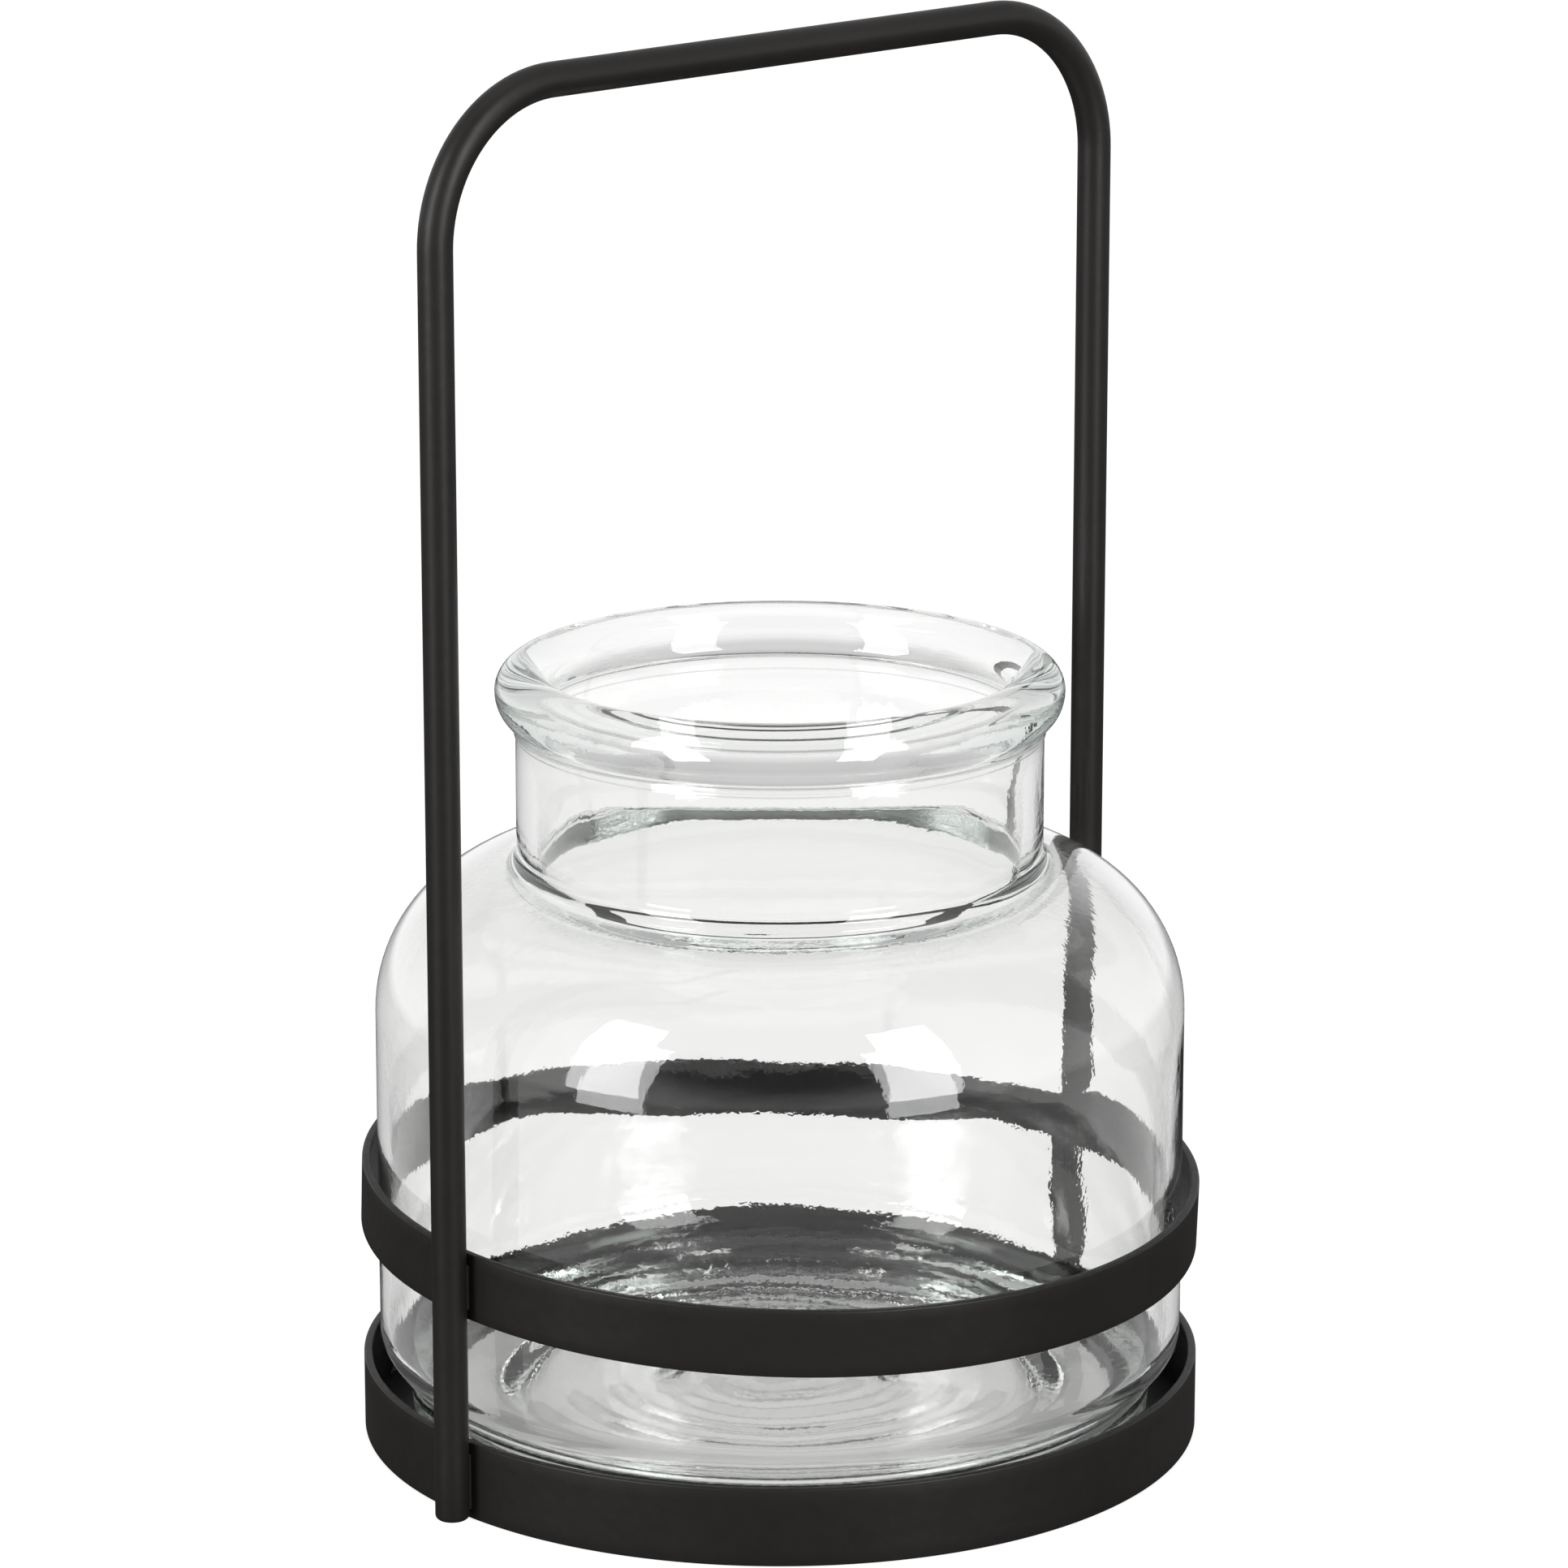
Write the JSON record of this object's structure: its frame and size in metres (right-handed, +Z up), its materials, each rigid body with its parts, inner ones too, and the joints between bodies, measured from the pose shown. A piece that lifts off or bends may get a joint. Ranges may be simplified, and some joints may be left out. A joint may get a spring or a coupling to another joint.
{
  "type": "hurricane candle lantern",
  "caption": "Wide-mouthed clear glass jar resting in a welded black steel holder with flat bands and a tall fixed handle of bent round rod.",
  "frame": {"origin": "on the floor, under the centre of the jar and of the lower band", "axes": "+Z up; the two handle legs stand on the X axis, so the handle lies in the XZ plane; the upper band dips slightly towards -Y"},
  "size_m": [0.162, 0.1504, 0.2515],
  "materials": {
    "black_steel": "satin black powder coat on mild steel",
    "clear_glass": "clear pressed soda-lime glass, fire-polished"
  },
  "bodies": {
    "holder": {"handle_rod": "black_steel", "lower_band": "black_steel", "upper_band": "black_steel", "seat_ring": "black_steel", "leg_welds": "black_steel", "seat_welds": "black_steel"},
    "jar": {"glass_jar": "clear_glass"}
  },
  "joints": [
    {"name": "jar_lift", "type": "slide", "parent": "holder", "child": "jar", "axis": [0, 0, 1], "range_m": [0, 0.075]}
  ]
}
